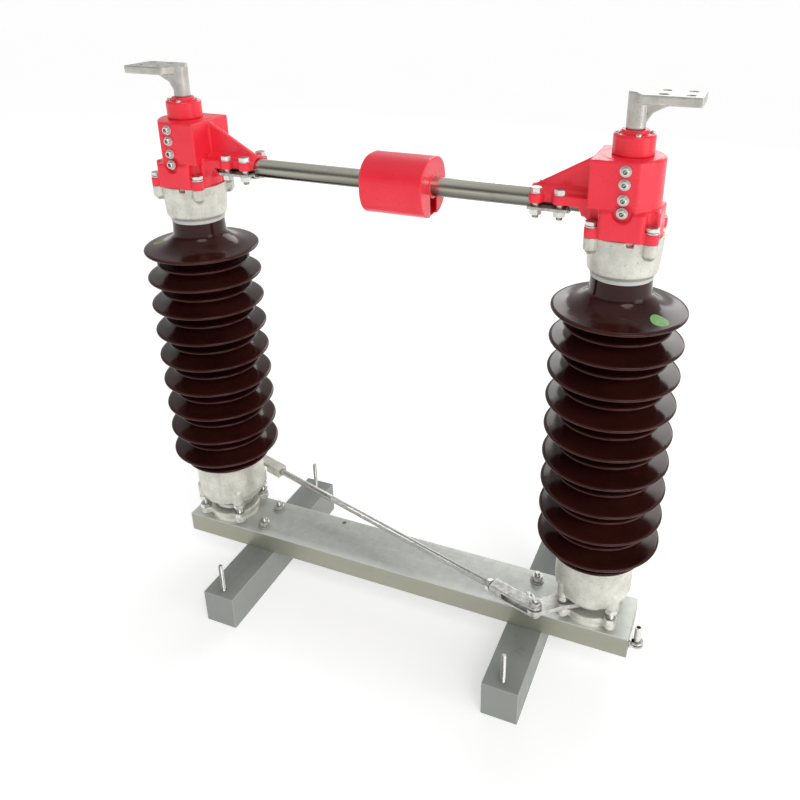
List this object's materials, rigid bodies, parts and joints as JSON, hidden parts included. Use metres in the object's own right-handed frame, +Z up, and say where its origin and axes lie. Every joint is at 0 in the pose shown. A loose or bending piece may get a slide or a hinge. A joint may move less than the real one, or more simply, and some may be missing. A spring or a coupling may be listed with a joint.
{
  "type": "two-post centre-break disconnect switch, 35 kV class",
  "caption": "Centre-break disconnect switch: two rotating ribbed porcelain posts on a steel channel, contact arms meeting under a red cover, crossed rod link.",
  "frame": {"origin": "middle of the switch's footprint, on the underside of the cross supports", "axes": "+X along the channel from the left post to the right post, +Y to the back, +Z up the posts"},
  "size_m": [0.888, 0.36, 0.94],
  "materials": {
    "galvanised": "hot-dip galvanised, matt",
    "grey_paint": "flat",
    "zinc": "bright zinc plate",
    "cast_flange": "light zinc paint on a rough casting",
    "red_enamel": "gloss",
    "porcelain": "dark brown gloss glaze",
    "contact_metal": "tinned copper, polished",
    "cast_aluminium": "sand-cast, satin"
  },
  "bodies": {
    "base": {"base_beam": "galvanised", "left_support": "grey_paint", "right_support": "grey_paint", "left_support_studs": "zinc", "right_support_studs": "zinc", "left_base_bolts": "zinc", "right_base_bolts": "zinc", "left_bearing": "cast_flange", "right_bearing": "cast_flange", "earth_terminal": "zinc"},
    "left_post": {"left_turntable": "cast_flange", "left_crank": "zinc", "left_flange_studs": "zinc", "left_lower_flange": "cast_flange", "left_insulator": "porcelain", "left_upper_flange": "cast_flange", "left_head": "red_enamel", "left_head_bolts": "zinc", "left_tube": "contact_metal", "left_tube_clamp": "zinc", "left_clamp_bolts": "zinc", "left_rotor_cap": "red_enamel", "left_cap_screws": "zinc", "contact_blade": "contact_metal"},
    "right_post": {"right_turntable": "cast_flange", "right_crank": "zinc", "right_flange_studs": "zinc", "right_lower_flange": "cast_flange", "right_insulator": "porcelain", "right_upper_flange": "cast_flange", "right_head": "red_enamel", "right_head_bolts": "zinc", "right_tube": "contact_metal", "right_tube_clamp": "zinc", "right_clamp_bolts": "zinc", "right_rotor_cap": "red_enamel", "right_cap_screws": "zinc", "contact_fingers": "contact_metal", "contact_cover": "red_enamel"},
    "left_terminal": {"left_terminal": "cast_aluminium"},
    "right_terminal": {"right_terminal": "cast_aluminium"},
    "link": {"link_rod": "zinc", "rod_eye": "cast_flange", "rod_fork": "cast_flange", "fork_pin": "zinc"}
  },
  "joints": [
    {"name": "left_post_turn", "type": "hinge", "parent": "base", "child": "left_post", "pos_m": [-0.35, 0, 0.11], "axis": [0, 0, -1], "range_deg": [0, 90]},
    {"name": "right_post_turn", "type": "hinge", "parent": "base", "child": "right_post", "pos_m": [0.35, 0, 0.11], "axis": [0, 0, 1], "range_deg": [0, 90]},
    {"name": "left_terminal_turn", "type": "hinge", "parent": "left_post", "child": "left_terminal", "pos_m": [-0.35, 0, 0.88], "axis": [0, 0, 1], "range_deg": [0, 90]},
    {"name": "right_terminal_turn", "type": "hinge", "parent": "right_post", "child": "right_terminal", "pos_m": [0.35, 0, 0.88], "axis": [0, 0, -1], "range_deg": [0, 90]},
    {"name": "rod_turn", "type": "hinge", "parent": "right_post", "child": "link", "pos_m": [0.274, -0.072, 0.135], "axis": [0, 0, -1], "range_deg": [0, 81.7]}
  ],
  "couplings": [
    {"joint": "right_post_turn", "follows": "left_post_turn", "ratio": 1},
    {"joint": "left_terminal_turn", "follows": "left_post_turn", "ratio": 1},
    {"joint": "right_terminal_turn", "follows": "left_post_turn", "ratio": 1},
    {"joint": "rod_turn", "follows": "left_post_turn", "ratio": 0.9071}
  ]
}
